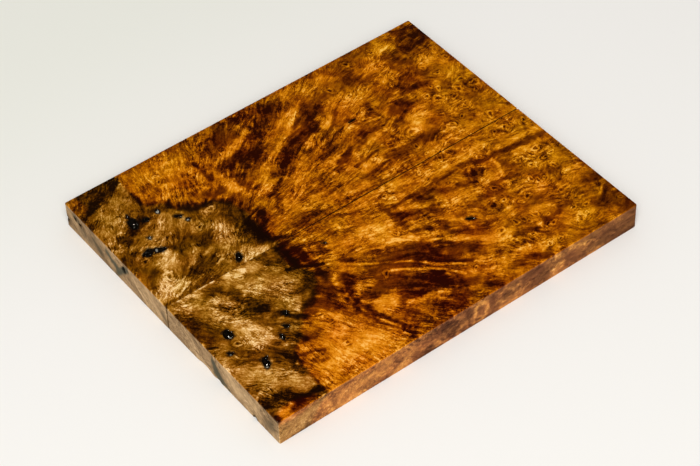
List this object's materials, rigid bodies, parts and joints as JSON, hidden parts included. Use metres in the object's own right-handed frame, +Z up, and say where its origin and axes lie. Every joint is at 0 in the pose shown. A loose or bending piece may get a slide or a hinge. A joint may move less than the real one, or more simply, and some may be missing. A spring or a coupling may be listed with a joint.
{
  "type": "pair of stabilized burl knife handle scales",
  "caption": "Bookmatched pair of flat, polished, resin-stabilized burl wood scales with natural bark pockets, laid side by side, for the two sides of a knife handle.",
  "frame": {"origin": "on the ground, under the middle of the pair", "axes": "+X along the scales, away from the end with the bark pockets; +Y towards the left scale; +Z up, out of the show faces"},
  "size_m": [0.13, 0.1072, 0.0093],
  "materials": {
    "burl": "polished to a wet gloss on the show faces, finely sanded on the sawn edges"
  },
  "bodies": {
    "root": {"scale_left": "burl", "scale_right": "burl"}
  },
  "joints": []
}
